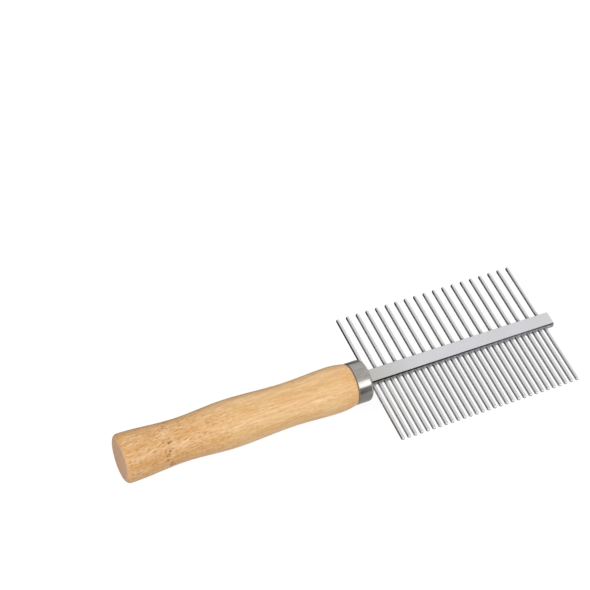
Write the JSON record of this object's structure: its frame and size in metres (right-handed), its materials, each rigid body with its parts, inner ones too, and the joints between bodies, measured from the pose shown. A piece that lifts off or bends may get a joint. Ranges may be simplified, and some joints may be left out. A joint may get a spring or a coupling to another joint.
{
  "type": "pet grooming comb",
  "caption": "Double-sided steel grooming comb: round teeth in a close row and an open row along a flat bar, on a turned bamboo handle with a steel ferrule.",
  "frame": {"origin": "centre of the handle's flat butt face, on the handle's axis", "axes": "+X runs along the handle towards the end of the bar, +Y points to the open (coarse) row of teeth, +Z points out of the bar's top face"},
  "size_m": [0.206, 0.0656, 0.021],
  "materials": {
    "bamboo": "satin clear lacquer over turned bamboo",
    "ferrule_steel": "polished stamped sheet steel",
    "adhesive": "cured epoxy, hidden",
    "bar_steel": "satin plated steel, sides polished",
    "tooth_steel": "polished plated steel wire"
  },
  "bodies": {
    "root": {"handle": "bamboo", "ferrule": "ferrule_steel", "tang_adhesive": "adhesive", "spine_bar": "bar_steel", "fine_tooth_01": "tooth_steel", "fine_tooth_02": "tooth_steel", "fine_tooth_03": "tooth_steel", "fine_tooth_04": "tooth_steel", "fine_tooth_05": "tooth_steel", "fine_tooth_06": "tooth_steel", "fine_tooth_07": "tooth_steel", "fine_tooth_08": "tooth_steel", "fine_tooth_09": "tooth_steel", "fine_tooth_10": "tooth_steel", "fine_tooth_11": "tooth_steel", "fine_tooth_12": "tooth_steel", "fine_tooth_13": "tooth_steel", "fine_tooth_14": "tooth_steel", "fine_tooth_15": "tooth_steel", "fine_tooth_16": "tooth_steel", "fine_tooth_17": "tooth_steel", "fine_tooth_18": "tooth_steel", "fine_tooth_19": "tooth_steel", "fine_tooth_20": "tooth_steel", "fine_tooth_21": "tooth_steel", "fine_tooth_22": "tooth_steel", "fine_tooth_23": "tooth_steel", "fine_tooth_24": "tooth_steel", "fine_tooth_25": "tooth_steel", "fine_tooth_26": "tooth_steel", "fine_tooth_27": "tooth_steel", "fine_tooth_28": "tooth_steel", "fine_tooth_29": "tooth_steel", "fine_tooth_30": "tooth_steel", "coarse_tooth_01": "tooth_steel", "coarse_tooth_02": "tooth_steel", "coarse_tooth_03": "tooth_steel", "coarse_tooth_04": "tooth_steel", "coarse_tooth_05": "tooth_steel", "coarse_tooth_06": "tooth_steel", "coarse_tooth_07": "tooth_steel", "coarse_tooth_08": "tooth_steel", "coarse_tooth_09": "tooth_steel", "coarse_tooth_10": "tooth_steel", "coarse_tooth_11": "tooth_steel", "coarse_tooth_12": "tooth_steel", "coarse_tooth_13": "tooth_steel", "coarse_tooth_14": "tooth_steel", "coarse_tooth_15": "tooth_steel", "coarse_tooth_16": "tooth_steel", "coarse_tooth_17": "tooth_steel", "coarse_tooth_18": "tooth_steel", "coarse_tooth_19": "tooth_steel"}
  },
  "joints": []
}
